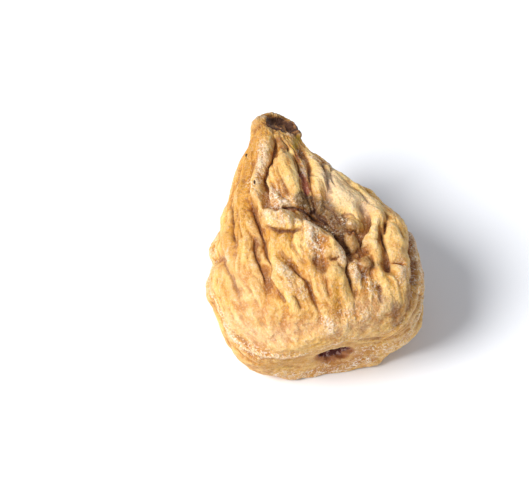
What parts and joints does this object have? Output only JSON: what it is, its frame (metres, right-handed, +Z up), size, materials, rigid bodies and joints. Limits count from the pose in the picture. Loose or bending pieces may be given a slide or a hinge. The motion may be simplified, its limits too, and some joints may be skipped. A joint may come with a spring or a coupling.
{
  "type": "dried fig",
  "caption": "Dried fig: a shrivelled teardrop fruit with deep folds, a round eye at its base and a broken-off stem end, lying on its flattened belly.",
  "frame": {"origin": "middle of the surface that the fig lies on, under the middle of its box", "axes": "+Z up; +Y from the eye end towards the raised stem end; +X to the right of someone who faces the eye end"},
  "size_m": [0.038, 0.047, 0.029],
  "materials": {
    "skin": "dull, wrinkled, dusty with dried sugar"
  },
  "bodies": {
    "root": {"dried_fig": "skin"}
  },
  "joints": []
}
